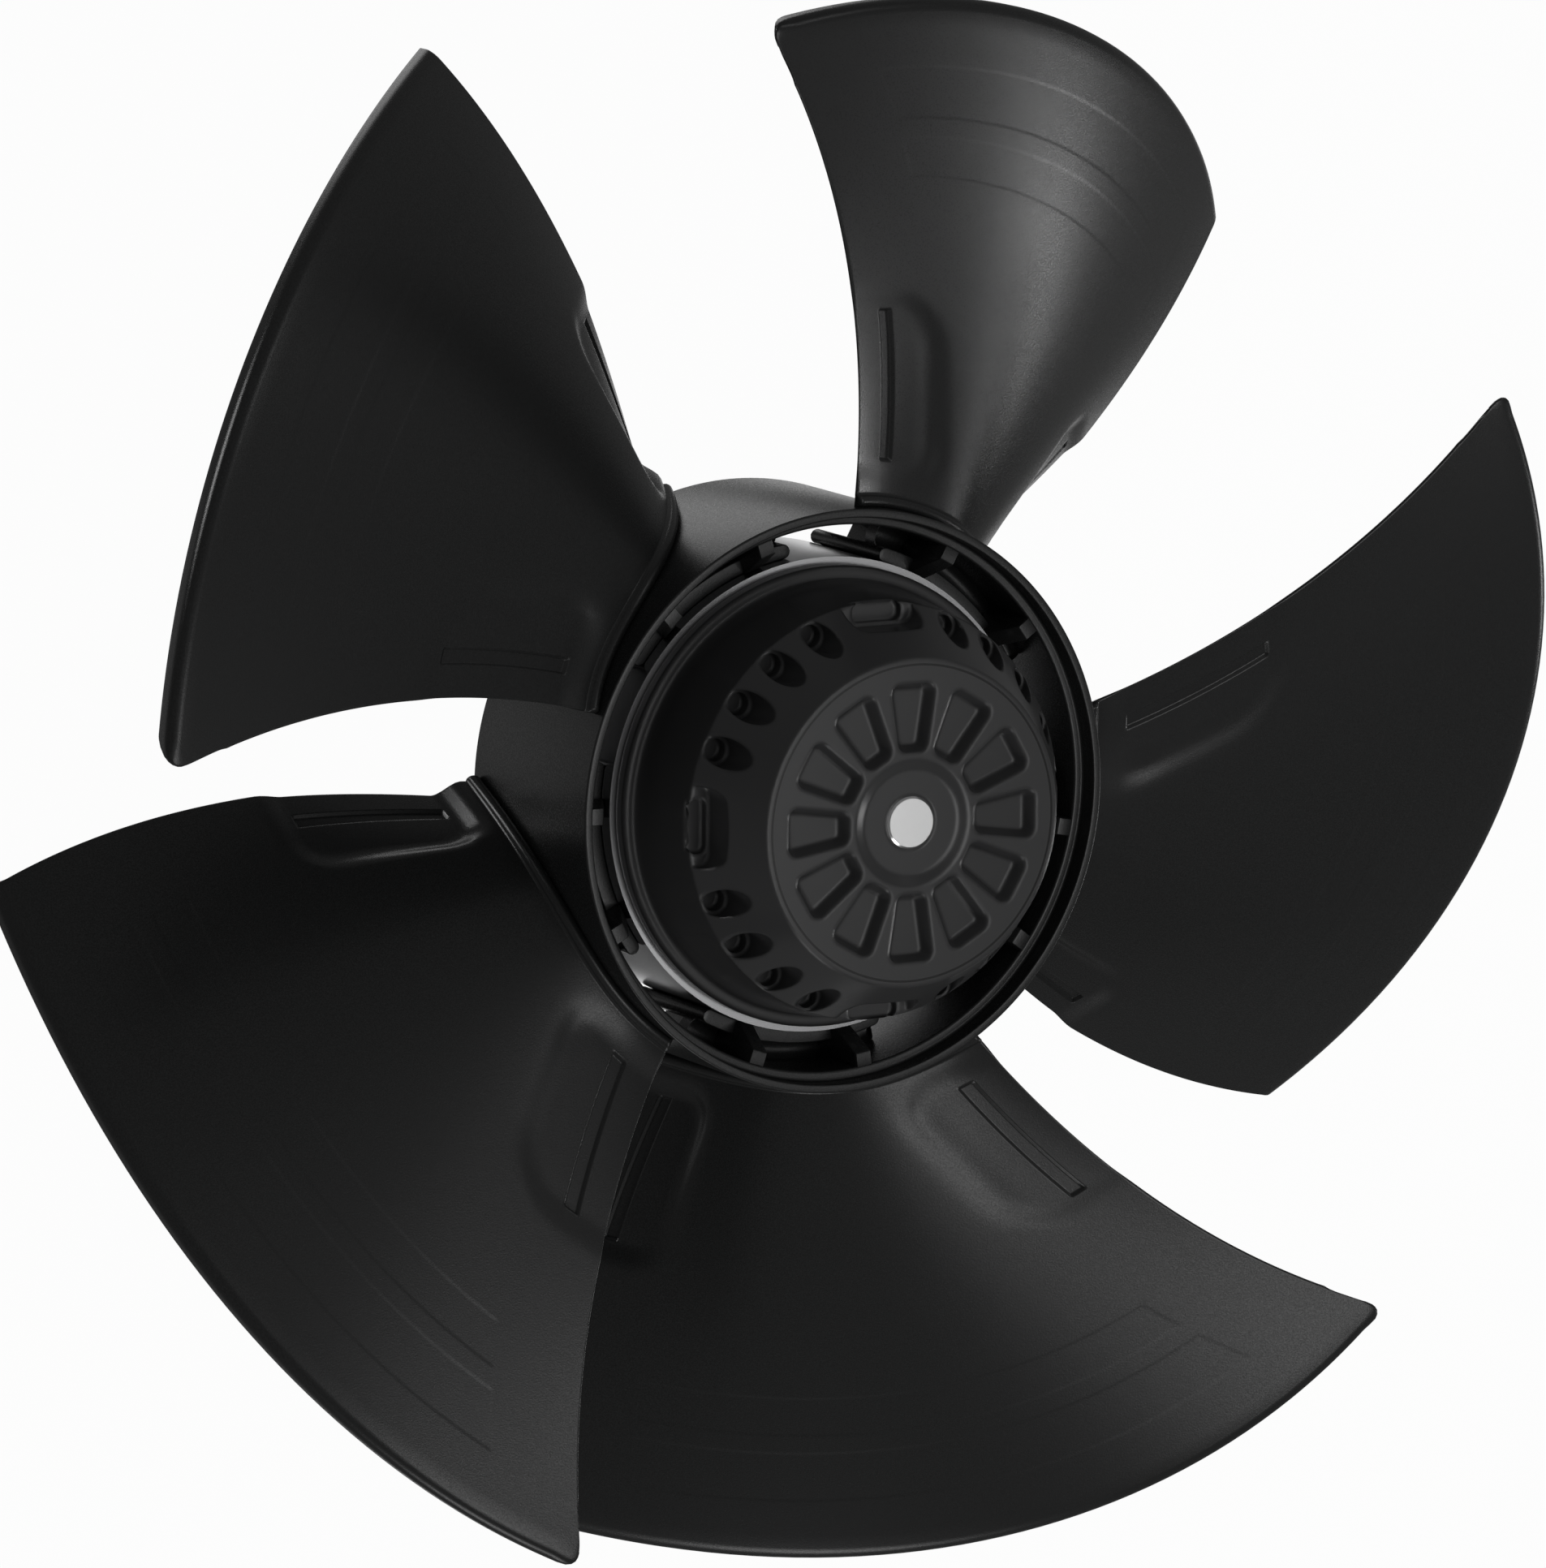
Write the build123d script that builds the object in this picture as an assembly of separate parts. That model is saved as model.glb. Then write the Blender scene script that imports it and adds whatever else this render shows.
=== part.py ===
from build123d import *
import os
from math import cos, radians, sin, tan

# Axial fan impeller carried by an external-rotor motor. Millimetres, +Z out of the rotor face.
# The origin is the centre of the stator flange's flat back, on the axis of rotation.

# the two sizes that set the rest: the rotor band and the impeller's tip
band_radius = 74.0         # turned steel band of the rotor, which the impeller is pressed on
tip_radius = 249.0
plane_height = 75.0        # moulding plane of the impeller above the mounting face

# impeller: one moulding, blades swept forward
blade_count = 5
hub_radius = band_radius + 16.8
blade_thickness = 3.0
lead_root_angle = 97.2     # leading edge, degrees round the axis
lead_tip_angle = 111.8
lead_bow = 3.7
trail_root_angle = 45.3    # trailing edge
trail_tip_angle = 52.3
trail_bow = 7.4
lead_root_rise = 25.4      # heights of the edges above the moulding plane
lead_tip_rise = 60.6
trail_root_drop = 38.6
trail_tip_drop = 61.2
trail_sag = 12.5
root_camber = 20.8
tip_camber = 26.6
root_skew = 29.4           # moves the deepest camber at the root towards the trailing edge
tip_skew = 4.3
tip_lip = 8.0              # depth of the lip turned back at the blade tip
tip_corner = 7.0           # rounding of the leading tip corner
slot_length = 47.5         # balancing slots near both edges
slot_width = 4.8
slot_depth = 1.2
slot_radius = hub_radius + 38.2  # radius of the slots' middle
lead_slot_inset = 12.8     # from the leading edge
trail_slot_inset = 11.0    # from the trailing edge

# impeller hub
hub_front = 30.6           # front rim above the moulding plane
hub_back = 42.3            # back rim below it
rim_wall = 2.7
rim_step = 6.6             # depth of the step behind the front rim
hub_wall = 5.8
sleeve_wall = 4.6          # inner sleeve round the rotor band
sleeve_front = 9.5
sleeve_back = 34.0
lug_width = 5.6
lug_ramp_drop = 13.0       # length of the ramp that guides the rotor in
lug_top_reach = 4.2
pair_angles = (0.6, 46.5)  # each blade pitch has two lugs
web_wall = 3.0             # floor between hub and sleeve, its face in the moulding plane
window_start = 11.6        # in each blade pitch floor and sleeve are left open between these angles
window_end = 35.6
window_corner = 1.2

# rotor
band_front = 15.0          # above the moulding plane
band_back = 30.0
gap_radius = band_radius - 18.0  # bore of the rotor core
cage_ring = 5.0
bell_radius = band_radius - 2.2
bell_rim_front = 20.0
wall_foot_radius = bell_radius - 4.2
shoulder_radius = bell_radius - 7.1
shoulder_rise = 48.1
disc_radius = bell_radius - 21.2
disc_rise = 71.9
bell_wall = 5.0
bell_floor = 14.0           # thickness under the petals
boss_radius = 15.0
boss_depth = 24.0
phase = 11.0               # angle of the first petal and pocket
petal_count = 12
petal_inner = 21.6
petal_outer = disc_radius - 7.4
petal_inner_width = 10.0
petal_outer_width = 16.6
petal_corner = 3.4
petal_depth = 4.1
petal_draft = 29.0
pocket_count = 4
pocket_width = 25.0
pocket_inner = shoulder_radius - 7.3
pocket_corner = 4.0
pocket_slot_length = 17.0  # shallow slot in each pocket's floor
pocket_slot_width = 6.0
pocket_slot_depth = 2.5
scallops_between = 4       # scallops between two pockets
scallop_pitch = 15.0
scallop_circle = shoulder_radius - 4.5
scallop_radius = 4.7
hole_radius = 3.6
hole_depth = 4.0
recess_radius = 19.7
recess_floor = 16.4
recess_depth = 1.3

# shaft and bearings
shaft_radius = 6.0
head_radius = 8.1          # pressed head of the shaft in the bell
head_length = 26.0
bearing_radius = 14.0
bearing_width = 8.0
race_wall = 2.6
rear_bearing_height = 9.0
front_bearing_height = plane_height + 17.0
shield_wall = 0.6
spring_gap = 1.6
fit = 0.02                 # clearance of seats
play = 0.3                 # running clearance between parts that turn and parts that stand

# stator
drum_radius = gap_radius + 2.0
flange_radius = drum_radius + 4.0
flange_thickness = 6.0
drum_height = plane_height - band_back - cage_ring - 2.0 - flange_thickness
drum_wall = 4.0
cover_radius = drum_radius - 17.0
cover_thickness = 2.5
bolt_circle = 2 * (flange_radius - 12.0)
bolt_hole_radius = 2.5
bolt_boss_radius = 7.0
bolt_depth = 14.0
boss_height = 18.0
bolt_count = 4
tube_wall = 4.0
air_gap = 0.5
tooth_count = 12
tooth_width = 9.0
slot_opening = 3.0
yoke_radius = gap_radius - 24.0
shoe_depth = 3.5
pedestal_radius = yoke_radius - 2.0
core_bottom = plane_height - 28.0
core_height = 40.0
winding_height = 7.0
insulator_wall = 1.2
screw_circle = yoke_radius - 7.0
screw_radius = 2.0
screw_head = 3.6
screw_head_height = 2.4
clip_thickness = 1.0
clip_width = 2.4


def turned(points):
    """Solid of revolution of a closed (radius, height) outline."""
    outline = make_face(Polyline(*points, close=True))
    return revolve(Plane.XZ * outline, Axis.Z)


def ring(outer, inner, bottom, top):
    return turned([(inner, bottom), (outer, bottom), (outer, top), (inner, top)])


def spun(shape, angle):
    return Rot(0, 0, angle) * shape


# impeller

def edge_angles(v):
    lead = lead_root_angle + (lead_tip_angle - lead_root_angle - lead_bow) * v + lead_bow * v * v
    trail = trail_root_angle + (trail_tip_angle - trail_root_angle - trail_bow) * v + trail_bow * v * v
    return lead, trail


def blade_point(s, v, lift=0.0):
    """Front face of the first blade: s runs from trailing (0) to leading edge (1), v from hub to tip."""
    lead, trail = edge_angles(v)
    angle = radians(trail + (lead - trail) * s)
    radius = hub_radius + (tip_radius - hub_radius) * v
    high = lead_root_rise + (lead_tip_rise - lead_root_rise) * v
    low = -trail_root_drop - (trail_tip_drop - trail_root_drop + trail_sag) * v + trail_sag * v * v
    camber = root_camber + (tip_camber - root_camber) * v**3
    skew = root_skew + (tip_skew - root_skew) * v
    rise = low + (high - low) * s + 4 * s * (1 - s) * (camber + skew * (0.5 - s))
    return Vector(radius * cos(angle), radius * sin(angle), plane_height + rise + lift)


def blade_face():
    along = 17
    across = 11
    inner = -0.04
    outer = 1.06
    rows = [[blade_point(i / (along - 1), inner + (outer - inner) * j / (across - 1))
             for i in range(along)] for j in range(across)]
    return Face.make_surface_from_array_of_points(rows, tol=0.02, min_deg=3, max_deg=5)


def slot_tool(from_lead):
    """Upright prism over one balancing slot, square to the blade face."""
    v = (slot_radius - hub_radius) / (tip_radius - hub_radius)
    step = slot_length / 2 / (tip_radius - hub_radius)
    edge = 1.0 if from_lead else 0.0
    inset = lead_slot_inset if from_lead else trail_slot_inset
    ends = []
    for w in (v - step, v + step):
        rim = blade_point(edge, w)
        inner = blade_point(0.5, w)
        chord = (blade_point(edge + (0.08 if not from_lead else -0.08), w) - rim).normalized()
        ends.append(rim + chord * inset)
    length_axis = (ends[1] - ends[0]).normalized()
    middle = (ends[0] + ends[1]) * 0.5
    across = (blade_point(0.5, v) - middle)
    normal = length_axis.cross(across).normalized()
    if normal.Z < 0:
        normal = normal * -1
    bed = Plane(origin=middle, x_dir=length_axis, z_dir=normal)
    outline = RectangleRounded(slot_length, slot_width, slot_width * 0.3)
    return extrude(bed * outline, amount=8.0, both=True)


def corner_tool():
    """Upright prism that rounds the corner between the leading edge and the tip."""
    corner = blade_point(1, 1)
    corner = Vector(corner.X, corner.Y, 0)
    inward = blade_point(1, 0.93) - corner
    inward = Vector(inward.X, inward.Y, 0).normalized()
    along = blade_point(0.95, 1) - corner
    along = Vector(along.X, along.Y, 0).normalized()
    half = radians(inward.get_angle(along)) / 2
    reach = tip_corner / tan(half)
    middle = corner + (inward + along).normalized() * (tip_corner / sin(half))
    outside = corner - (inward + along).normalized() * tip_corner
    kite = Polyline(outside, corner + inward * reach, middle, corner + along * reach, close=True)
    prism = extrude(make_face(kite), amount=2 * tip_radius)
    return prism - Pos(middle.X, middle.Y, tip_radius) * Cylinder(tip_corner, 2 * tip_radius)


def blade():
    front = blade_face()
    back = -1 if front.normal_at(front.center()).Z > 0 else 1
    tall = 4 * tip_radius
    inside = Cylinder(tip_radius, tall)
    plate = Solid.thicken(front, back * blade_thickness) & inside
    sunk = Pos(0, 0, -blade_thickness / 3) * front
    lip = extrude(sunk, amount=tip_lip - blade_thickness / 3, dir=(0, 0, -1))
    lip = lip & (inside - Cylinder(tip_radius - blade_thickness, tall))
    hollow = Cylinder(hub_radius - rim_wall, tall)
    solid = (plate - hollow) + lip - corner_tool()
    slots = Solid.thicken(front, back * slot_depth)
    for from_lead in (True, False):
        solid = solid - (slots & slot_tool(from_lead))
    return solid


def hub_shell():
    top = plane_height + hub_front
    bottom = plane_height - hub_back
    bore = hub_radius - hub_wall
    rim = hub_radius - rim_wall
    step = top - rim_step
    return turned([(bore, bottom), (hub_radius, bottom), (hub_radius, top),
                   (rim, top), (rim, step), (bore, step)])


def lug(angle):
    """Ramped rib that centres the rotor in the hub."""
    top = plane_height + hub_front - rim_step
    outer = hub_radius - hub_wall + 0.5
    seat = band_radius + fit
    low = plane_height - sleeve_back
    side = Polyline((outer, low), (outer, top), (outer - 0.5 - lug_top_reach, top),
                    (seat, top - lug_ramp_drop), (seat, low), close=True)
    return spun(extrude(Plane.XZ * make_face(side), amount=lug_width / 2, both=True), angle)


def window_tool(angle):
    """Sector that opens floor and sleeve between two pairs of lugs."""
    inner = band_radius - 1.0
    outer = hub_radius - hub_wall
    start = Vector(2 * outer, 0).rotate(Axis.Z, window_start)
    end = Vector(2 * outer, 0).rotate(Axis.Z, window_end)
    sector = make_face(Polyline((0, 0), start, end, close=True))
    outline = (Circle(outer) - Circle(inner)) & sector
    outline = fillet(outline.vertices(), window_corner)
    low = plane_height - hub_back
    return spun(extrude(Pos(0, 0, low) * outline, amount=hub_back + hub_front), angle)


def impeller():
    pitch = 360 / blade_count
    solid = hub_shell()
    seat = band_radius + fit
    sleeve = ring(seat + sleeve_wall, seat, plane_height - sleeve_back, plane_height + sleeve_front)
    sleeve += ring(hub_radius - hub_wall + 0.5, seat, plane_height - web_wall, plane_height)
    for n in range(blade_count):
        sleeve -= window_tool(n * pitch)
    solid += sleeve
    one = blade()
    for n in range(blade_count):
        solid += spun(one, n * pitch)
        for angle in pair_angles:
            solid += lug(angle + n * pitch)
    return solid


# rotor

def petal_cut(angle):
    """Drafted recess in the rotor face."""
    outline = Polyline((petal_inner, -petal_inner_width / 2), (petal_outer, -petal_outer_width / 2),
                       (petal_outer, petal_outer_width / 2), (petal_inner, petal_inner_width / 2), close=True)
    sketch = make_face(outline)
    sketch = fillet(sketch.vertices(), petal_corner)
    top = Pos(0, 0, plane_height + disc_rise) * sketch
    return spun(extrude(top, amount=-petal_depth, taper=petal_draft), angle)


def bell_profile():
    wall = bell_wall
    rim = bell_rim_front
    outer = [(0, disc_rise), (disc_radius, disc_rise), (shoulder_radius, shoulder_rise),
             (wall_foot_radius, rim + 1.5), (wall_foot_radius + 0.6, rim), (bell_radius - 1.0, rim),
             (bell_radius, rim - 1.0), (bell_radius, band_front)]
    inner = [(gap_radius + 2.5, band_front), (gap_radius + 2.5, shoulder_rise - 2 * wall),
             (disc_radius - wall, disc_rise - bell_floor), (boss_radius, disc_rise - bell_floor),
             (boss_radius, disc_rise - boss_depth), (0, disc_rise - boss_depth)]
    return [(r, plane_height + z) for r, z in outer + inner]


def rotor_bell():
    solid = turned(bell_profile())
    top = plane_height + disc_rise
    floor = plane_height + shoulder_rise
    for n in range(petal_count):
        solid -= petal_cut(phase + n * 360 / petal_count)
    reach = shoulder_radius + 2 - pocket_inner
    for n in range(pocket_count):
        turn = phase + n * 360 / pocket_count
        pocket = Pos(pocket_inner + reach / 2, 0, floor + 15) * Box(reach, pocket_width, 30)
        pocket = fillet(pocket.edges().filter_by(Axis.Z).group_by(Axis.X)[0], pocket_corner)
        solid -= spun(pocket, turn)
        bed = Pos((pocket_inner + shoulder_radius) / 2 + 0.5, 0, floor)
        slot = RectangleRounded(pocket_slot_width, pocket_slot_length, pocket_slot_width * 0.4)
        solid -= spun(extrude(bed * slot, amount=-pocket_slot_depth), turn)
        for k in range(scallops_between):
            offset = 180 / pocket_count + (k - (scallops_between - 1) / 2) * scallop_pitch
            scallop = Pos(scallop_circle, 0, floor + 15) * Cylinder(scallop_radius, 30)
            drilled = Pos(scallop_circle, 0, floor - hole_depth / 2) * Cylinder(hole_radius, hole_depth)
            solid -= spun(scallop + drilled, turn + offset)
    solid -= turned([(0, top - recess_depth), (recess_floor, top - recess_depth),
                     (recess_radius, top), (0, top)])
    solid -= Pos(0, 0, top - boss_depth / 2) * Cylinder(head_radius + fit, boss_depth)
    return solid


def rotor_core():
    return ring(band_radius, gap_radius, plane_height - band_back, plane_height + band_front)


def rear_cage_ring():
    top = plane_height - band_back
    return ring(band_radius - 4.0, gap_radius + 2.5, top - cage_ring, top)


def shaft():
    top = plane_height + disc_rise - recess_depth + 0.6
    head = top - head_length
    low = rear_bearing_height - 4.0
    return turned([(0, low), (shaft_radius - 1, low), (shaft_radius, low + 1), (shaft_radius, head),
                   (head_radius, head), (head_radius, top - 0.6), (head_radius - 0.6, top), (0, top)])


def inner_race(height):
    return ring(shaft_radius + race_wall, shaft_radius + fit, height, height + bearing_width)


def outer_race(height):
    """Outer race with a shield at each end; the balls behind the shields are left out."""
    outer = bearing_radius - fit
    track = bearing_radius - race_wall
    lip = shaft_radius + race_wall + play
    top = height + bearing_width
    return turned([(outer, height), (outer, top), (lip, top), (lip, top - shield_wall),
                   (track, top - shield_wall), (track, height + shield_wall),
                   (lip, height + shield_wall), (lip, height)])


def shaft_clip():
    top = rear_bearing_height
    return ring(shaft_radius + clip_width, shaft_radius + fit, top - clip_thickness, top)


# stator

def stator_flange():
    """Die-cast flange, drum and bearing tube."""
    top = flange_thickness + drum_height
    seat = bearing_radius
    tube = seat + tube_wall
    shelf = seat - 3.0
    rear = rear_bearing_height
    front = front_bearing_height
    solid = turned([
        (cover_radius, 0), (flange_radius, 0), (flange_radius, flange_thickness),
        (drum_radius, flange_thickness), (drum_radius, top), (pedestal_radius, top),
        (pedestal_radius, core_bottom), (tube, core_bottom), (tube, front + bearing_width + 2),
        (seat, front + bearing_width + 2), (seat, front - spring_gap), (shelf, front - spring_gap),
        (shelf, rear + bearing_width), (seat, rear + bearing_width), (seat, rear - 4),
        (tube, rear - 4), (tube, top - drum_wall), (drum_radius - drum_wall, top - drum_wall),
        (drum_radius - drum_wall, cover_thickness), (cover_radius, cover_thickness)])
    for n in range(bolt_count):
        boss = Pos(bolt_circle / 2, 0, boss_height / 2) * Cylinder(bolt_boss_radius, boss_height)
        hole = Pos(bolt_circle / 2, 0, bolt_depth / 2) * Cylinder(bolt_hole_radius, bolt_depth)
        angle = 45 + n * 360 / bolt_count
        solid += spun(boss, angle)
        solid -= spun(hole, angle)
        drilled = Pos(screw_circle, 0, core_bottom - 5) * Cylinder(screw_radius, 10)
        solid -= spun(drilled, n * 360 / bolt_count)
    return solid


def rear_cover():
    return ring(cover_radius - fit, 0, 0, cover_thickness)


def stator_core():
    """Laminated stack: yoke, teeth and pole shoes."""
    outer = gap_radius - air_gap
    top = core_bottom + core_height
    solid = ring(yoke_radius, bearing_radius + tube_wall + fit, core_bottom, top)
    shoes = ring(outer, outer - shoe_depth, core_bottom, top)
    for n in range(tooth_count):
        angle = n * 360 / tooth_count
        tooth = Pos((yoke_radius + outer) / 2 - 1, 0, (core_bottom + top) / 2)
        tooth = tooth * Box(outer - yoke_radius, tooth_width, core_height)
        solid += spun(tooth, angle)
        slot = Pos(outer, 0, (core_bottom + top) / 2) * Box(shoe_depth * 3, slot_opening, core_height)
        shoes -= spun(slot, angle + 180 / tooth_count)
    solid += shoes
    for n in range(bolt_count):
        hole = Pos(screw_circle, 0, (core_bottom + top) / 2) * Cylinder(screw_radius + fit, core_height)
        solid -= spun(hole, n * 360 / bolt_count)
    return solid


def insulator(bottom):
    return ring(gap_radius - air_gap - 1.5, yoke_radius + 1.0, bottom, bottom + insulator_wall)


def winding(bottom):
    """Varnished end winding, laced to a bevelled ring."""
    outer = gap_radius - air_gap - 3.5
    inner = yoke_radius + 2.5
    top = bottom + winding_height
    bevel = winding_height * 0.3
    return turned([(inner, bottom + bevel), (inner + bevel, bottom),
                   (outer - bevel, bottom), (outer, bottom + bevel),
                   (outer, top - bevel), (outer - bevel, top),
                   (inner + bevel, top), (inner, top - bevel)])


def wave_spring():
    gap = front_bearing_height
    return ring(bearing_radius - 0.5, bearing_radius - 2.6, gap - spring_gap, gap)


def core_screw(n):
    top = core_bottom + core_height
    length = core_height + 8.0
    stem = Pos(screw_circle, 0, top - length / 2) * Cylinder(screw_radius - fit, length)
    head = Pos(screw_circle, 0, top + screw_head_height / 2) * Cylinder(screw_head, screw_head_height)
    socket = Pos(screw_circle, 0, top + screw_head_height) * extrude(RegularPolygon(1.6, 6), amount=-1.4)
    return spun(stem + head - socket, n * 360 / bolt_count)


def build():
    core_top = core_bottom + core_height
    parts = {
        "impeller": impeller(),
        "rotor_bell": rotor_bell(),
        "rotor_core": rotor_core(),
        "rear_cage_ring": rear_cage_ring(),
        "shaft": shaft(),
        "shaft_clip": shaft_clip(),
        "stator_flange": stator_flange(),
        "rear_cover": rear_cover(),
        "stator_core": stator_core(),
        "insulator_front": insulator(core_top),
        "insulator_rear": insulator(core_bottom - insulator_wall),
        "winding_front": winding(core_top + insulator_wall),
        "winding_rear": winding(core_bottom - insulator_wall - winding_height),
        "wave_spring": wave_spring(),
    }
    for name, height in (("front", front_bearing_height), ("rear", rear_bearing_height)):
        parts[f"{name}_inner_race"] = inner_race(height)
        parts[f"{name}_outer_race"] = outer_race(height)
    for n in range(bolt_count):
        parts[f"core_screw_{n + 1}"] = core_screw(n)
    return parts


os.makedirs("parts", exist_ok=True)
for name, shape in build().items():
    export_step(shape, f"parts/{name}.step")
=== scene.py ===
import bmesh
import bpy
import math
import numpy as np
from mathutils import Matrix, Vector


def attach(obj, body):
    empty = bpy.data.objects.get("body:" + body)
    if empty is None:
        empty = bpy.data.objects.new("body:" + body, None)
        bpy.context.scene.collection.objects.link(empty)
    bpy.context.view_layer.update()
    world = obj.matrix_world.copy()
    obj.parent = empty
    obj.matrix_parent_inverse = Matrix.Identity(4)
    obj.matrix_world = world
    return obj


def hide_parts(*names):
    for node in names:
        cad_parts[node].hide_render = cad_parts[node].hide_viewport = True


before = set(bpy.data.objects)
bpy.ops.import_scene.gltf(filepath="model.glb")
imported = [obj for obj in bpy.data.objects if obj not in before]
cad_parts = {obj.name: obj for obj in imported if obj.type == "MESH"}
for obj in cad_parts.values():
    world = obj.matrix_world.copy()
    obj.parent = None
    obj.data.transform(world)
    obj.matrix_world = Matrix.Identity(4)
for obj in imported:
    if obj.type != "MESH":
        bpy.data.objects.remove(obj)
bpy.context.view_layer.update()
print("frame loaded,", len(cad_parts), "nodes")

# lengths are in mm here and in metres in the meshes
metre = 0.001
planeHeight = 75.0  # the impeller's moulding plane above the mounting face
meshing = {"merge": 2e-6, "slimmest": 1e-7}  # m: points closer than this become one, shorter edges are dissolved


def smoothStep(x, low, high):
    # 0 below low, 1 above high, 3t^2 - 2t^3 between
    t = np.clip((x - low) / (high - low), 0, 1)
    return t * t * (3 - 2 * t)


def unit(vectors):
    return vectors / np.linalg.norm(vectors, axis=-1, keepdims=True)


def surfaceMesh(name, grids, sharpAngle=None):
    # each grid is (points, wrapRows, wrapColumns); its cells become quads and points that meet are merged
    allPoints, allQuads, offset = [], [], 0
    for points, wrapRows, wrapColumns in grids:
        rows, columns = points.shape[:2]
        index = np.arange(rows * columns).reshape(rows, columns) + offset
        if wrapRows:
            index = np.vstack([index, index[:1]])
        if wrapColumns:
            index = np.hstack([index, index[:, :1]])
        quads = np.stack([index[:-1, :-1], index[:-1, 1:], index[1:, 1:], index[1:, :-1]], -1)
        allPoints.append(points.reshape(-1, 3))
        allQuads.append(quads.reshape(-1, 4))
        offset += rows * columns
    points = np.concatenate(allPoints) * metre
    quads = np.concatenate(allQuads)
    mesh = bpy.data.meshes.new(name)
    mesh.vertices.add(len(points))
    mesh.vertices.foreach_set("co", points.astype(np.float32).ravel())
    mesh.loops.add(quads.size)
    mesh.loops.foreach_set("vertex_index", quads.astype(np.int32).ravel())
    mesh.polygons.add(len(quads))
    mesh.polygons.foreach_set("loop_start", (np.arange(len(quads)) * 4).astype(np.int32))
    mesh.update(calc_edges=True)
    mesh.validate()
    work = bmesh.new()
    work.from_mesh(mesh)
    bmesh.ops.remove_doubles(work, verts=work.verts, dist=meshing["merge"])
    bmesh.ops.dissolve_degenerate(work, edges=work.edges, dist=meshing["slimmest"])
    work.to_mesh(mesh)
    work.free()
    mesh.polygons.foreach_set("use_smooth", np.ones(len(mesh.polygons), bool))
    if sharpAngle:
        mesh.set_sharp_from_angle(angle=math.radians(sharpAngle))
    piece = bpy.data.objects.new(name, mesh)
    bpy.context.scene.collection.objects.link(piece)
    return piece


def turnPoints(points, degrees):
    # rotation of an array of points about the z axis
    a = math.radians(degrees)
    x, y = points[..., 0], points[..., 1]
    return np.stack([x * math.cos(a) - y * math.sin(a), x * math.sin(a) + y * math.cos(a), points[..., 2]], -1)


def roundedProfile(corners, radii, steps=4):
    # closed polygon with each corner replaced by a quadratic Bezier arc of the given reach
    corners = np.array(corners, float)
    count = len(corners)
    out = []
    for i, here in enumerate(corners):
        reach = radii[i] if hasattr(radii, "__len__") else radii
        before, after = corners[i - 1] - here, corners[(i + 1) % count] - here
        a = here + unit(before) * min(reach, np.linalg.norm(before) / 2)
        b = here + unit(after) * min(reach, np.linalg.norm(after) / 2)
        for t in np.linspace(0, 1, steps + 1):
            out.append((1 - t) ** 2 * a + 2 * t * (1 - t) * here + t * t * b)
    return np.array(out)


def lathe(profile, segments):
    # closed (radius, height) profile carried round the z axis
    angle = np.linspace(0, 2 * np.pi, segments, endpoint=False)[None, :]
    r, z = profile[:, 0][:, None], profile[:, 1][:, None]
    return np.stack([r * np.cos(angle), r * np.sin(angle), z + 0 * angle], -1)


def newMaterial(name, color, metallic=0.0, roughness=0.5, specular=0.5):
    material = bpy.data.materials.new(name)
    material.use_nodes = True
    shader = material.node_tree.nodes["Principled BSDF"]
    shader.inputs["Base Color"].default_value = (*color, 1)
    shader.inputs["Metallic"].default_value = metallic
    shader.inputs["Roughness"].default_value = roughness
    shader.inputs["Specular IOR Level"].default_value = specular
    return material, material.node_tree, shader


def addNode(tree, kind, operation=None, inputs=()):
    # a node with its operation and the values of its inputs, by name or by place
    node = tree.nodes.new(kind)
    if operation:
        node.operation = operation
    for key, value in dict(inputs).items():
        node.inputs[key].default_value = value
    return node


plastic = {  # lengths in m, as the shader takes them
    "color": (0.0195, 0.02, 0.02),
    "grain": {"Scale": 2100.0, "Detail": 2.0, "Roughness": 0.6}, "bump": {"Strength": 0.55, "Distance": 0.00006},
    "shadeRange": (0.35, 0.68), "shadeFactors": (0.6, 1.5),
    "gloss": {"From Min": 0.36, "From Max": 0.64, "To Min": 0.36, "To Max": 0.25},
}


def plasticMaterial():
    # fine moulding grain: one noise tilts the surface, shades the colour and varies the gloss
    material, tree, shader = newMaterial("impellerPlastic", plastic["color"])
    place = addNode(tree, "ShaderNodeTexCoord")
    grain = addNode(tree, "ShaderNodeTexNoise", inputs=plastic["grain"])
    tree.links.new(place.outputs["Object"], grain.inputs["Vector"])
    bump = addNode(tree, "ShaderNodeBump", inputs=plastic["bump"])
    tree.links.new(grain.outputs["Fac"], bump.inputs["Height"])
    tree.links.new(bump.outputs["Normal"], shader.inputs["Normal"])
    shade = addNode(tree, "ShaderNodeValToRGB")
    for stop, position, factor in zip(shade.color_ramp.elements, plastic["shadeRange"], plastic["shadeFactors"]):
        stop.position = position
        stop.color = tuple(c * factor for c in plastic["color"]) + (1,)
    tree.links.new(grain.outputs["Fac"], shade.inputs["Fac"])
    tree.links.new(shade.outputs["Color"], shader.inputs["Base Color"])
    gloss = addNode(tree, "ShaderNodeMapRange", inputs=plastic["gloss"])
    tree.links.new(grain.outputs["Fac"], gloss.inputs["Value"])
    tree.links.new(gloss.outputs["Result"], shader.inputs["Roughness"])
    return material


plasticBlack = plasticMaterial()

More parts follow.
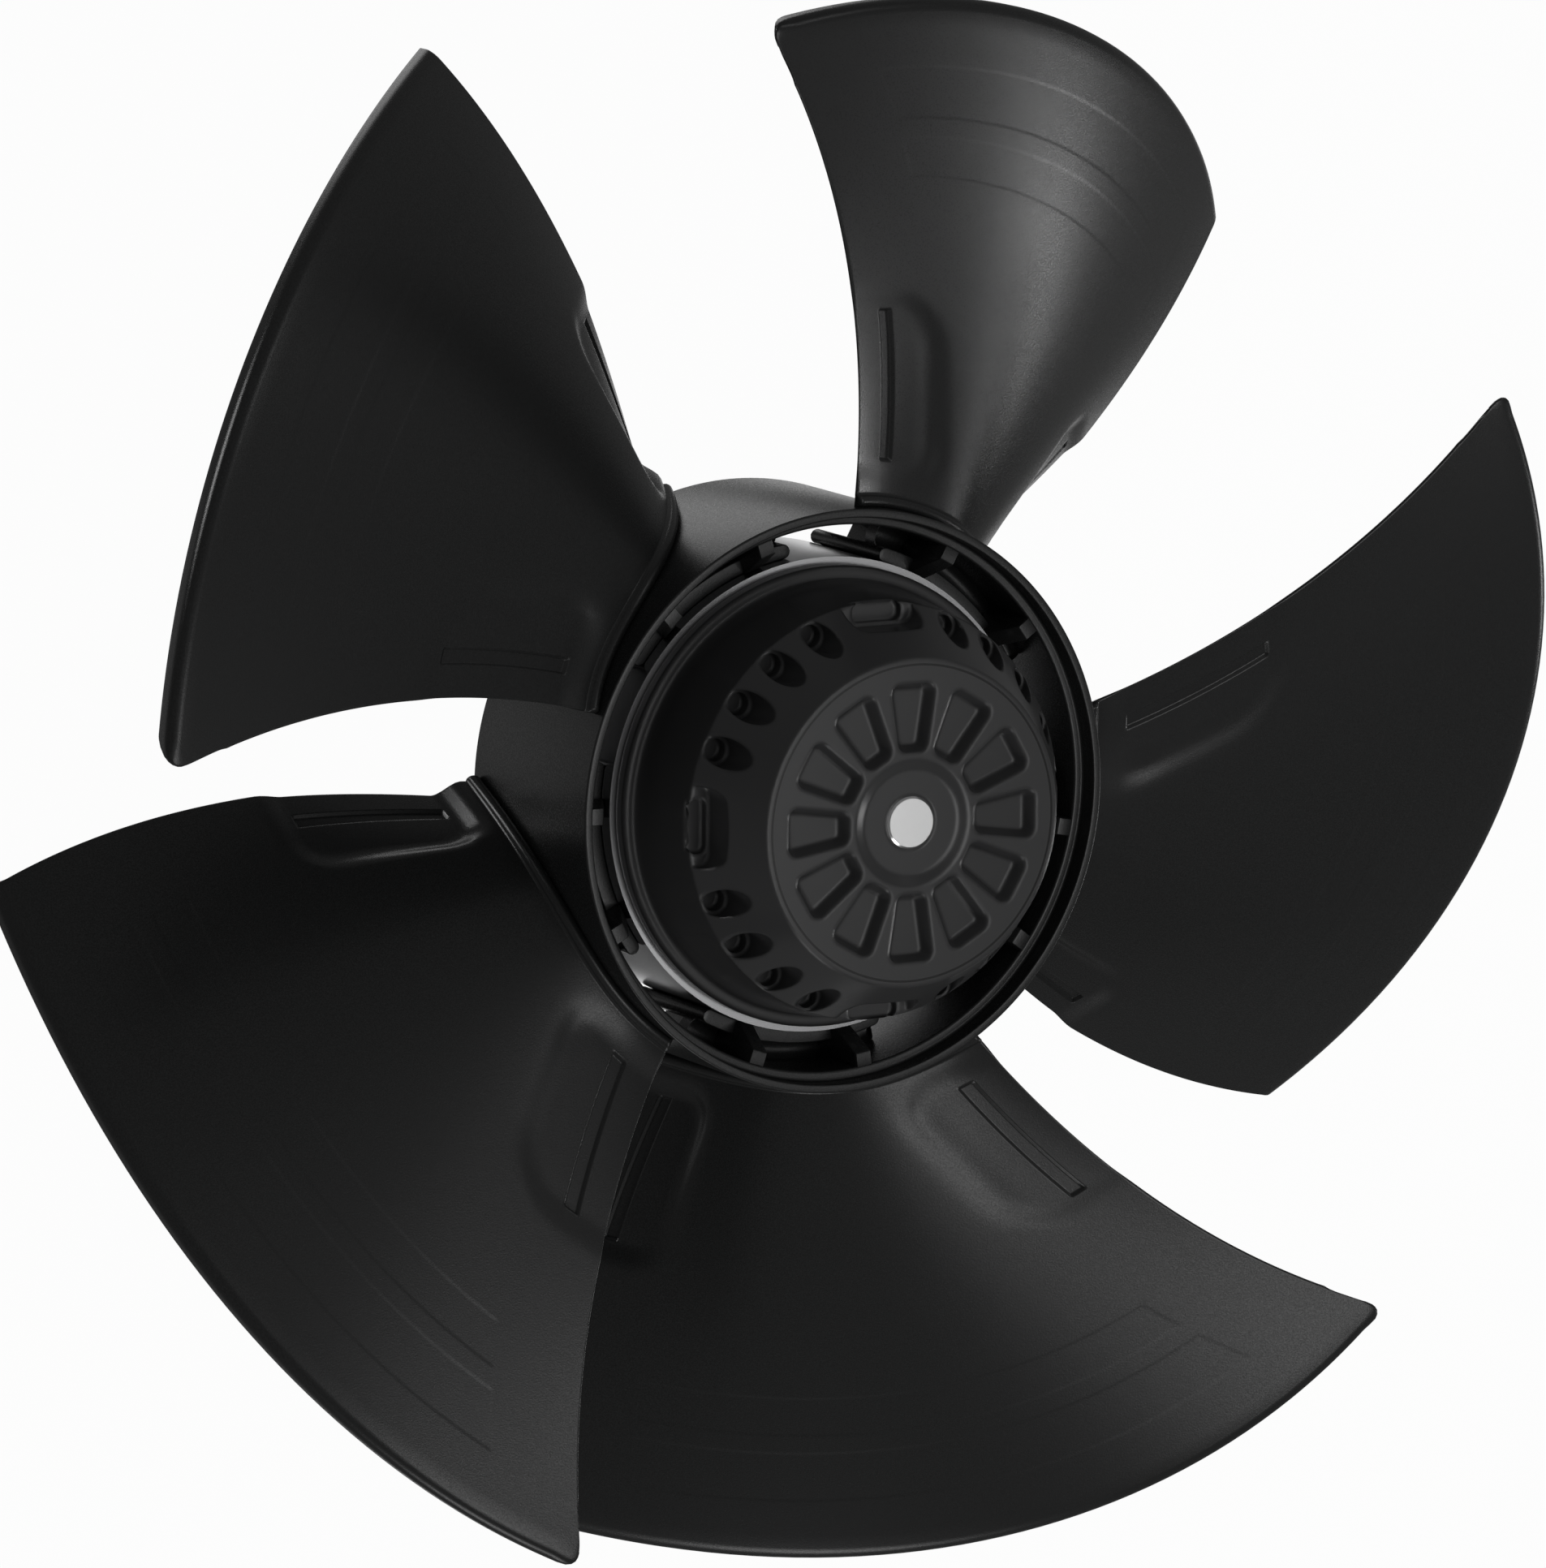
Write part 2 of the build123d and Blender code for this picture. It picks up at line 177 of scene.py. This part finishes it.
blade = {
    "count": 5, "hub": 90.8, "tip": 249.0,
    "bodyThickness": 3.0, "edgeThickness": 1.3, "taper": 22.0, "rimReach": 0.9,
    "rollRadius": 4.0, "lipDrops": (1.2, 2.6, 4.0), "lipThickness": 1.8, "lipRunOut": 11.0, "lipKept": 0.12,
    "corner": 7.0, "tipCurve": (246.4, 8.66, -6.66), "tipBlend": (225, 245),
    "slotInner": 105.2, "slotOuter": 152.5, "slotHalf": 2.5, "slotDepth": 1.1, "leadInset": 12.8, "trailInset": 11.0,
    "leadPad": {"reach": 33.0, "inner": 101.0, "outer": 156.0, "corner": 14.0, "slope": 5.0,
                "edge": (-1.0, -0.65), "level": (-1.0, -0.65), "edgeReach": 5.0, "valley": 0.4},
    "trailPad": {"reach": 32.0, "inner": 101.0, "outer": 157.0, "corner": 12.0, "slope": 4.5,
                 "edge": (-5.5, -1.6), "level": (-4.7, -1.4), "edgeReach": 32.0, "valley": 0.0},
    "valley": {"centre": 1.0, "width": 4.5, "cornerGain": 0.9, "cornerInset": 7.0, "cornerReach": 8.0,
               "tipFade": (140, 158), "rimFade": (2, 16)},
    "fields": ((212.5, 228.3), (194.3, 206.5)), "fieldMargin": 32.0, "fieldHeight": -0.035,
    "beadRadius": 92.6, "beadHeight": 2.2, "beadHalf": 2.2,
    "stepHalf": 0.15, "stepLines": (-0.8, -0.15, 0.15, 0.8), "marginHalf": 0.4, "marginLines": (-1.0, -0.3, 0.3, 1.0),
    "middleColumns": 32, "rollSteps": 5, "rimSteps": 5, "lipClosing": ((0.75, 0.55), (0.0, 0.9)),
}


def bladeFront(s, radius):
    # front face over s 0 trailing..1 leading edge and v 0 hub..1 tip: edge angles and heights quadratic in v,
    # height between the edges linear in s plus a skewed parabola
    v = (radius - blade["hub"]) / (blade["tip"] - blade["hub"])
    lead = 97.2 + 10.9 * v + 3.7 * v * v
    trail = 45.3 - 0.4 * v + 7.4 * v * v
    high = 25.4 + 35.2 * v
    low = -38.6 - 35.1 * v + 12.5 * v * v
    rise = low + (high - low) * s + 4 * s * (1 - s) * (20.8 + 5.8 * v**3 + (29.4 - 25.1 * v) * (0.5 - s))
    angle = np.radians(trail + (lead - trail) * s)
    return np.stack([radius * np.cos(angle), radius * np.sin(angle), rise], -1)


def frontNormal(points):
    # unit normals of a grid from central differences, turned so that the middle one points up
    normal = unit(np.cross(np.gradient(points, axis=0), np.gradient(points, axis=1)))
    middle = normal[points.shape[0] // 2, points.shape[1] // 2, 2]
    return normal if middle >= 0 else -normal


def rimSpeed(s, radius):
    # mm of surface per unit of s beside the rim at s = 0 or 1
    step = 0.02
    inside = s - step if s > 0.5 else s + step
    rim, near = bladeFront(np.full_like(radius, s), radius), bladeFront(np.full_like(radius, inside), radius)
    return (np.linalg.norm(rim - near, axis=-1) / step)[:, None]


def stepLines(*edges):
    # close grid lines on both sides of each sharp step keep the smooth shading beside it
    return np.add.outer(np.array(edges), np.array(blade["stepLines"])).ravel()


def bladeRows():
    # radii of the rows: fine at the root bead, at the ends of slots and pads and at the ring fields
    loose = np.concatenate([
        [89.4, 90.4, 90.7, 91.2, 91.8, 92.6, 93.4, 94.0, 94.5, 94.8, 95.4, 96.6, 98.2, 100, 102, 103.6],
        np.linspace(108, 150, 17), [154.6, 155.8, 157, 158.2, 159.6, 161.2, 163, 165.5, 168],
        np.linspace(172, 191, 6), [198, 203, 209.5, 217, 221, 225, 232.5, 236.5, 240.5]])
    steps = stepLines(blade["slotInner"], blade["slotOuter"], *np.ravel(blade["fields"]))
    return np.sort(np.concatenate([loose, steps]))


def rimColumns(inset, extra):
    # distances of the columns from a rim: fine at its rounding, at the slot's sides and at the fields' ends
    half = blade["slotHalf"]
    ends = blade["fieldMargin"] + np.array(blade["marginLines"])
    loose = np.concatenate([[0, 0.35, 0.9, 1.8, 3.2, 5], extra, np.arange(18, 31, 2), ends, np.arange(35, 42, 2)])
    return np.sort(np.concatenate([loose, stepLines(inset - half, inset + half)]))[None, :]


def bladeGrid():
    # s, distances to both rims, radius and drop of each point; the last rows roll over the tip and run down its lip
    b, rho = blade, blade["rollRadius"]
    radii = bladeRows()
    rollTurns = np.linspace(0, np.pi / 2, b["rollSteps"] + 1)[1:]
    count = len(radii)
    rows = count + 1 + len(rollTurns) + len(b["lipDrops"])
    rowRadii = np.concatenate([radii, np.full(rows - count, b["tip"] - rho)])
    speedLead, speedTrail = rimSpeed(1.0, rowRadii), rimSpeed(0.0, rowRadii)
    sTrail = rimColumns(b["trailInset"], (11, 16)) / speedTrail
    sLead = 1 - rimColumns(b["leadInset"], (7.4, 12.8))[:, ::-1] / speedLead
    t = np.linspace(0, 1, b["middleColumns"] + 2)[1:-1][None, :]
    sMiddle = sTrail[:, -1:] + (sLead[:, :1] - sTrail[:, -1:]) * t
    s = np.hstack([sTrail, sMiddle, sLead])
    dLead, dTrail = (1 - s) * speedLead, s * speedTrail
    # the tip's radius is quadratic in s and its leading corner is a quarter circle
    tip = b["tipCurve"][0] + b["tipCurve"][1] * s + b["tipCurve"][2] * s * s
    corner = b["corner"]
    into = np.clip(corner - dLead, 0, corner)
    tip = tip - (corner - np.sqrt(np.maximum(corner * corner - into**2, 0)))
    radius, drop = np.zeros_like(s), np.zeros_like(s)
    radius[:count] = radii[:, None] + (tip[:count] - b["tip"]) * smoothStep(radii, *b["tipBlend"])[:, None]
    radius[count] = tip[count] - rho
    for row, turn in enumerate(rollTurns, count + 1):
        radius[row] = tip[count] - rho * (1 - np.sin(turn))
        drop[row] = rho * (1 - np.cos(turn))
    for row, depth in enumerate(b["lipDrops"], count + 1 + len(rollTurns)):
        radius[row] = tip[count]
        drop[row] = rho + depth
    return s, dLead, dTrail, radius, drop


def padLift(pad, distance, radius):
    # sunk pad: level + (edge - level)(1 - d/edgeReach)^2 inside a rounded box, with a shallow valley round it
    half = (pad["outer"] - pad["inner"]) / 2
    x = np.abs(distance) - pad["reach"] + pad["corner"]
    y = np.abs(radius - (pad["outer"] + pad["inner"]) / 2) - half + pad["corner"]
    outside = np.hypot(np.maximum(x, 0), np.maximum(y, 0)) + np.minimum(np.maximum(x, y), 0) - pad["corner"]
    share = np.clip((radius - pad["inner"]) / (2 * half), 0, 1)
    rim = pad["edge"][0] + (pad["edge"][1] - pad["edge"][0]) * share
    level = pad["level"][0] + (pad["level"][1] - pad["level"][0]) * share
    floor = level + (rim - level) * np.clip(1 - distance / pad["edgeReach"], 0, 1) ** 2
    # the valley is deepest at the pad's inner corner and runs out towards the tip and the rim
    shape = blade["valley"]
    away = (radius - pad["inner"] - shape["cornerInset"]) ** 2 + (distance - pad["reach"]) ** 2
    gain = 1 + shape["cornerGain"] * np.exp(-away / shape["cornerReach"] ** 2)
    valley = pad["valley"] * gain * np.exp(-((outside - shape["centre"]) / shape["width"]) ** 2)
    valley = valley * (1 - smoothStep(radius, *shape["tipFade"])) * smoothStep(distance, *shape["rimFade"])
    return floor * (1 - smoothStep(outside, -pad["slope"], pad["slope"])) - valley


def between(x, low, high, half):
    # 1 from low to high with smooth steps of the given half width
    return smoothStep(x, low - half, low + half) * (1 - smoothStep(x, high - half, high + half))


def frontRelief(dLead, dTrail, radius, drop):
    # what only the front shows: lead pad, half-round bead along the root, two slots and the faint ring fields
    b = blade
    bead = b["beadHeight"] * np.sqrt(np.clip(1 - ((radius - b["beadRadius"]) / b["beadHalf"]) ** 2, 0, 1))
    slots = np.zeros_like(radius)
    for distance, inset in ((dLead, b["leadInset"]), (dTrail, b["trailInset"])):
        across = between(distance, inset - b["slotHalf"], inset + b["slotHalf"], b["stepHalf"])
        slots = np.maximum(slots, across * between(radius, b["slotInner"], b["slotOuter"], b["stepHalf"]))
    slots[drop > 0] = 0
    fields = np.zeros_like(radius)
    near = np.minimum(dLead, dTrail)
    for low, high in b["fields"]:
        ends = smoothStep(near, b["fieldMargin"] - b["marginHalf"], b["fieldMargin"] + b["marginHalf"])
        fields += between(radius, low, high, b["stepHalf"]) * ends
    return padLift(b["leadPad"], dLead, radius) + bead - b["slotDepth"] * slots + b["fieldHeight"] * fields


def rimStrip(a, b, outward):
    # half ellipse from a to b, bulging outward
    mid, half = (a + b) / 2, (a - b) / 2
    reach = np.minimum(np.linalg.norm(half, axis=-1, keepdims=True), blade["rimReach"])
    turns = np.linspace(0, np.pi, blade["rimSteps"] + 2)[1:-1]
    return np.stack([mid + half * math.cos(x) + outward * reach * math.sin(x) for x in turns], 1)


def bladeSkin():
    # closed sock: front, leading rim, back and trailing rim side by side, gathered at the lip's end
    s, dLead, dTrail, radius, drop = bladeGrid()
    front = bladeFront(s, radius)
    front[..., 2] -= drop * (blade["lipKept"] + (1 - blade["lipKept"]) * smoothStep(dLead, 0, blade["lipRunOut"]))
    sheet = front + frontNormal(front) * padLift(blade["trailPad"], dTrail, radius)[..., None]
    normal = frontNormal(sheet)
    # thickness grows with the root of the distance from the nearer rim
    grown = np.sqrt(np.clip(np.minimum(dLead, dTrail) / blade["taper"], 0, 1))
    thick = blade["edgeThickness"] + (blade["bodyThickness"] - blade["edgeThickness"]) * grown
    thick = np.where(drop > 0, blade["lipThickness"], thick)
    top = sheet + normal * frontRelief(dLead, dTrail, radius, drop)[..., None]
    bottom = sheet - normal * thick[..., None]
    leadRim = rimStrip(top[:, -1], bottom[:, -1], unit(sheet[:, -1] - sheet[:, -2]))
    trailRim = rimStrip(bottom[:, 0], top[:, 0], unit(sheet[:, 0] - sheet[:, 1]))
    loop = np.concatenate([top, leadRim, bottom[:, ::-1], trailRim], 1)

    def aroundLoop(line):
        # one value per front column, spread over the whole loop
        return np.concatenate([line, np.repeat(line[-1:], leadRim.shape[1], 0), line[::-1],
                               np.repeat(line[:1], trailRim.shape[1], 0)])
    middle, down = aroundLoop((top[-1] + bottom[-1]) / 2), aroundLoop(unit(top[-1] - top[-2]))
    ends = [middle + (loop[-1] - middle) * share + down * out for share, out in blade["lipClosing"]]
    loop = np.concatenate([loop, np.array(ends)])
    loop[..., 2] += planeHeight
    return loop


def buildBlades():
    skin = bladeSkin()
    pitch = 360 / blade["count"]
    piece = surfaceMesh("blades", [(turnPoints(skin, pitch * k), False, True) for k in range(blade["count"])])
    piece.data.materials.append(plasticBlack)
    return piece


blades = buildBlades()
print("blades", len(blades.data.polygons), "faces")

hub = {
    "outer": 90.8, "top": 105.6, "bottom": 32.7, "rimWall": 2.7, "stepDepth": 6.6, "bore": 85.0,
    "shellRounding": (0.6, 0.6, 0.7, 0.5, 1.0, 0.9), "segments": 240,
    "sleeveInner": 74.02, "sleeveOuter": 78.62, "sleeveTop": 84.5, "sleeveBottom": 41.0, "sleeveRounding": 0.4,
    "webTop": 75.0, "webWall": 3.0, "webFillet": 3.0, "overlap": 0.5, "barSteps": 40, "arcSteps": 7,
    "sleeveRoundOff": 2.3, "webRoundOff": 1.5, "webSetBack": 0.5, "leastShare": 1e-4,
    "windowStart": 11.6, "windowEnd": 35.6,
    "lugAngles": (0.6, 46.5), "lugWidth": 5.6, "lugTop": (80.8, 99.0), "lugFoot": (74.1, 86.0), "lugRounding": 0.45,
    "lugEdge": ((0.0, 0.0), (0.0, 0.96), (0.12, 0.985), (0.35, 1.0)), "creaseAngle": 40,
}


def archBar(profile, start, end, roundOff):
    # (radius, height) profile carried from one angle to another; both ends close in a half circle
    middle = (profile[:, 0].min() + profile[:, 0].max()) / 2
    turn = np.linspace(0, 1, hub["arcSteps"])
    width = np.sqrt(np.clip(1 - (1 - turn) ** 2, 0, 1))
    lead = np.degrees(roundOff / middle) * turn
    steps = hub["barSteps"]
    angles = np.concatenate([start + lead, np.linspace(start + lead[-1], end - lead[-1], steps)[1:-1], end - lead[::-1]])
    share = np.concatenate([width, np.ones(steps - 2), width[::-1]])
    r = middle + (profile[:, 0][None, :] - middle) * np.maximum(share, hub["leastShare"])[:, None]
    a = np.radians(angles)[:, None]
    return np.stack([r * np.cos(a), r * np.sin(a), profile[:, 1][None, :] + 0 * a], -1)


def lugGrid():
    # side outline in the radial plane, carried across the lug's width with its edges drawn in
    reach, top = hub["lugTop"]
    foot, ramp = hub["lugFoot"]
    outer = hub["bore"] + hub["overlap"]
    side = [(outer, hub["sleeveBottom"]), (foot, hub["sleeveBottom"]), (foot, ramp), (reach, top), (outer, top)]
    profile = roundedProfile(side, hub["lugRounding"], steps=3)
    centre, half = profile.mean(0), hub["lugWidth"] / 2
    edge = hub["lugEdge"]
    stations = [(-half + inset, share) for inset, share in edge] + [(half - inset, share) for inset, share in edge[::-1]]
    rows = []
    for y, share in stations:
        p = centre + (profile - centre) * share
        rows.append(np.stack([p[:, 0], np.full(len(p), y), p[:, 1]], -1))
    return np.array(rows)


def webProfile():
    # floor between sleeve and shell with a quarter-round fillet on each side
    f, low, high = hub["webFillet"], hub["webTop"] - hub["webWall"], hub["webTop"]
    inner, outer = hub["sleeveOuter"] - hub["overlap"], hub["bore"] + hub["overlap"]
    turn = np.linspace(0, np.pi / 2, hub["arcSteps"])
    outerFillet = np.stack([hub["bore"] - f + f * np.cos(turn), high + f - f * np.sin(turn)], -1)
    innerFillet = np.stack([hub["sleeveOuter"] + f - f * np.sin(turn), high + f - f * np.cos(turn)], -1)
    floor = [(inner, low), (outer, low), (outer, high + f)]
    return np.concatenate([floor, outerFillet, innerFillet, [(inner, high + f)]])


def buildHub():
    # turned shell, and in each pitch a sleeve bar, a floor bar between the windows and two lugs
    o, top, bottom = hub["outer"], hub["top"], hub["bottom"]
    rim, step, bore = o - hub["rimWall"], top - hub["stepDepth"], hub["bore"]
    shell = roundedProfile([(bore, bottom), (o, bottom), (o, top), (rim, top), (rim, step), (bore, step)],
                           hub["shellRounding"])
    sleeve = roundedProfile([(hub["sleeveInner"], hub["sleeveBottom"]), (hub["sleeveOuter"], hub["sleeveBottom"]),
                             (hub["sleeveOuter"], hub["sleeveTop"]), (hub["sleeveInner"], hub["sleeveTop"])],
                            hub["sleeveRounding"])
    web, lug = webProfile(), lugGrid()
    grids = [(lathe(shell, hub["segments"]), True, True)]
    pitch, setBack = 360 / blade["count"], hub["webSetBack"]
    for k in range(blade["count"]):
        turned = pitch * k
        first, last = hub["windowEnd"] + turned, hub["windowStart"] + turned + pitch
        grids.append((archBar(sleeve, first, last, hub["sleeveRoundOff"]), False, True))
        grids.append((archBar(web, first + setBack, last - setBack, hub["webRoundOff"]), False, True))
        for angle in hub["lugAngles"]:
            grids.append((turnPoints(lug, angle + turned), False, True))
    piece = surfaceMesh("hub", grids, sharpAngle=hub["creaseAngle"])
    piece.data.materials.append(plasticBlack)
    return piece


hubPiece = buildHub()
print("hub", len(hubPiece.data.polygons), "faces")
for piece in (blades, hubPiece):
    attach(piece, "rotor")
    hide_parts("impeller")

bell = {  # lengths in m, as the shader takes them
    "color": (0.052, 0.052, 0.053), "roughness": 0.22, "specular": 0.5, "edgeRadius": 0.0018, "edgeSamples": 6,
    # the ring's dark colour is painted shade for a fine groove, drawn as base colour without any relief
    "creaseRadius": 0.0488, "creaseWidth": 0.00035, "creaseShadeColor": (0.004, 0.004, 0.004),
}


def bellMaterial():
    # satin paint; edges catch the light as if rounded, and a thin ring of painted shade, standing for the dark line of
    # a fine groove, runs at one distance from the axis
    material, tree, shader = newMaterial("bellPaint", bell["color"], roughness=bell["roughness"],
                                         specular=bell["specular"])
    soft = addNode(tree, "ShaderNodeBevel", inputs={"Radius": bell["edgeRadius"]})
    soft.samples = bell["edgeSamples"]
    tree.links.new(soft.outputs["Normal"], shader.inputs["Normal"])
    place = addNode(tree, "ShaderNodeTexCoord")
    flatten = addNode(tree, "ShaderNodeVectorMath", "MULTIPLY", {1: (1, 1, 0)})
    tree.links.new(place.outputs["Object"], flatten.inputs[0])
    distance = addNode(tree, "ShaderNodeVectorMath", "LENGTH")
    tree.links.new(flatten.outputs[0], distance.inputs[0])
    # painted shade: the base colour turns dark within a thin ring round the axis
    creaseShadeRing = addNode(tree, "ShaderNodeMath", "COMPARE", {1: bell["creaseRadius"], 2: bell["creaseWidth"]})
    tree.links.new(distance.outputs["Value"], creaseShadeRing.inputs[0])
    paint = addNode(tree, "ShaderNodeMix")
    paint.data_type = "RGBA"
    paint.inputs["A"].default_value, paint.inputs["B"].default_value = (*bell["color"], 1), (*bell["creaseShadeColor"], 1)
    tree.links.new(creaseShadeRing.outputs[0], paint.inputs["Factor"])
    tree.links.new(paint.outputs["Result"], shader.inputs["Base Color"])
    return material


metals = {  # colour and roughness
    "turnedSteel": ((0.55, 0.55, 0.56), 0.22), "castAluminium": ((0.35, 0.35, 0.36), 0.45),
    "groundSteel": ((0.75, 0.75, 0.76), 0.15), "shaftSteel": ((0.95, 0.95, 0.95), 0.24),
    "windingCopper": ((0.35, 0.12, 0.04), 0.35),
}
finishes = {name: newMaterial(name, color, metallic=1.0, roughness=rough)[0] for name, (color, rough) in metals.items()}
finishes["bellPaint"] = bellMaterial()
nodeFinish = {
    "rotor_bell": "bellPaint", "rotor_core": "turnedSteel", "rear_cage_ring": "castAluminium", "shaft": "shaftSteel",
    "stator_flange": "castAluminium", "rear_cover": "castAluminium",
    "winding_front": "windingCopper", "winding_rear": "windingCopper",
}
for name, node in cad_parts.items():
    node.data.materials.clear()
    node.data.materials.append(finishes[nodeFinish.get(name, "groundSteel")])
print("finishes set")

camera = {
    "place": (-1.9426, 0.2896, 3.3878), "lens": 286.3, "sensor": 36.0, "clip": (0.05, 50),
    "x": (0.85682, 0.17558, 0.48479), "y": (-0.11470, 0.98158, -0.15278), "z": (-0.50269, 0.07530, 0.86118),
}
cameraData = bpy.data.cameras.new("camera")
cameraData.lens, cameraData.sensor_fit, cameraData.sensor_height = camera["lens"], "VERTICAL", camera["sensor"]
cameraData.clip_start, cameraData.clip_end = camera["clip"]
cameraPiece = bpy.data.objects.new("camera", cameraData)
bpy.context.scene.collection.objects.link(cameraPiece)
axes = Matrix((camera["x"], camera["y"], camera["z"])).transposed().to_4x4()
cameraPiece.matrix_world = Matrix.Translation(camera["place"]) @ axes
bpy.context.scene.camera = cameraPiece

lampCentre = Vector((0, 0, 0.085))
lampList = [  # angle from the viewing axis, angle round it, distance m, size m, watts
    ("mainSoftbox", 42, -21, 2.2, 1.2, 8.2),
    ("rimSoftbox", 110, -14, 2.2, 0.5, 4.4),
    ("edgeRim", 86, 142, 2.2, 0.8, 11.0),
    ("leftRim", 120, 170, 2.2, 1.0, 0.5),
    ("backRim", 138, 112, 2.2, 1.1, 3.0),
    ("frontFill", 14, 30, 2.4, 0.8, 0.4),
    ("lowFill", 78, -95, 2.3, 1.0, 7.5),
    ("upperFill", 68, 35, 2.3, 0.7, 1.3),
]
for name, polar, around, distance, size, watts in lampList:
    p, a = math.radians(polar), math.radians(around)
    direction = axes.to_3x3() @ Vector((math.sin(p) * math.cos(a), math.sin(p) * math.sin(a), math.cos(p)))
    lamp = bpy.data.lights.new(name, "AREA")
    lamp.shape, lamp.size, lamp.energy = "DISK", size, watts
    lampPiece = bpy.data.objects.new(name, lamp)
    lampPiece.location = lampCentre + direction * distance
    lampPiece.rotation_euler = direction.to_track_quat("Z", "Y").to_euler()
    bpy.context.scene.collection.objects.link(lampPiece)
print(len(lampList), "lamps")

studio = {
    "ambient": 0.12, "backdropTurn": (0.50269, -0.07530, -0.86118),
    "backdropEdge": {"From Min": 0.94, "From Max": 0.975},
    "floorHeight": -250.0, "floorRings": (0.0, 500.0, 2000.0, 12000.0), "floorSegments": 64,
    "floorColor": (0.8, 0.8, 0.8), "floorRoughness": 0.9, "floorGlow": 0.97,
}


def buildWorld():
    # dim even light on the object; white to the camera, and to reflections that look at the backdrop behind the object
    world = bpy.data.worlds.new("studio")
    world.use_nodes = True
    bpy.context.scene.world = world
    tree = world.node_tree
    ambient = tree.nodes["Background"]
    ambient.inputs["Color"].default_value = (1, 1, 1, 1)
    ambient.inputs["Strength"].default_value = studio["ambient"]
    white = addNode(tree, "ShaderNodeBackground", inputs={"Color": (1, 1, 1, 1)})
    path = addNode(tree, "ShaderNodeLightPath")
    sky = addNode(tree, "ShaderNodeTexCoord")
    facing = addNode(tree, "ShaderNodeVectorMath", "DOT_PRODUCT", {1: studio["backdropTurn"]})
    tree.links.new(sky.outputs["Generated"], facing.inputs[0])
    edge = addNode(tree, "ShaderNodeMapRange", inputs=studio["backdropEdge"])
    tree.links.new(facing.outputs["Value"], edge.inputs["Value"])
    glossy = addNode(tree, "ShaderNodeMath", "MULTIPLY")
    tree.links.new(path.outputs["Is Glossy Ray"], glossy.inputs[0])
    tree.links.new(edge.outputs["Result"], glossy.inputs[1])
    either = addNode(tree, "ShaderNodeMath", "MAXIMUM")
    tree.links.new(path.outputs["Is Camera Ray"], either.inputs[0])
    tree.links.new(glossy.outputs["Value"], either.inputs[1])
    mix = addNode(tree, "ShaderNodeMixShader")
    tree.links.new(either.outputs["Value"], mix.inputs["Fac"])
    tree.links.new(ambient.outputs[0], mix.inputs[1])
    tree.links.new(white.outputs[0], mix.inputs[2])
    tree.links.new(mix.outputs[0], tree.nodes["World Output"].inputs["Surface"])


def buildFloor():
    # flat disc far below the fan, white to the camera apart from a faint shadow
    r = np.array(studio["floorRings"])[:, None]
    angle = np.linspace(0, 2 * np.pi, studio["floorSegments"], endpoint=False)[None, :]
    grid = np.stack([r * np.cos(angle), r * np.sin(angle), studio["floorHeight"] + 0 * r * angle], -1)
    floor = surfaceMesh("floor", [(grid, False, True)])
    material, tree, shader = newMaterial("paleFloor", studio["floorColor"], roughness=studio["floorRoughness"])
    glow = addNode(tree, "ShaderNodeEmission", inputs={"Strength": 1.0})
    path = addNode(tree, "ShaderNodeLightPath")
    share = addNode(tree, "ShaderNodeMath", "MULTIPLY", {1: studio["floorGlow"]})
    blend = addNode(tree, "ShaderNodeMixShader")
    tree.links.new(path.outputs["Is Camera Ray"], share.inputs[0])
    tree.links.new(share.outputs[0], blend.inputs["Fac"])
    tree.links.new(shader.outputs[0], blend.inputs[1])
    tree.links.new(glow.outputs[0], blend.inputs[2])
    tree.links.new(blend.outputs[0], tree.nodes["Material Output"].inputs["Surface"])
    floor.data.materials.append(material)
    floor.visible_glossy = False
    floor.visible_diffuse = False


buildWorld()
buildFloor()
print("studio built")
bpy.context.scene.view_settings.view_transform = "Standard"
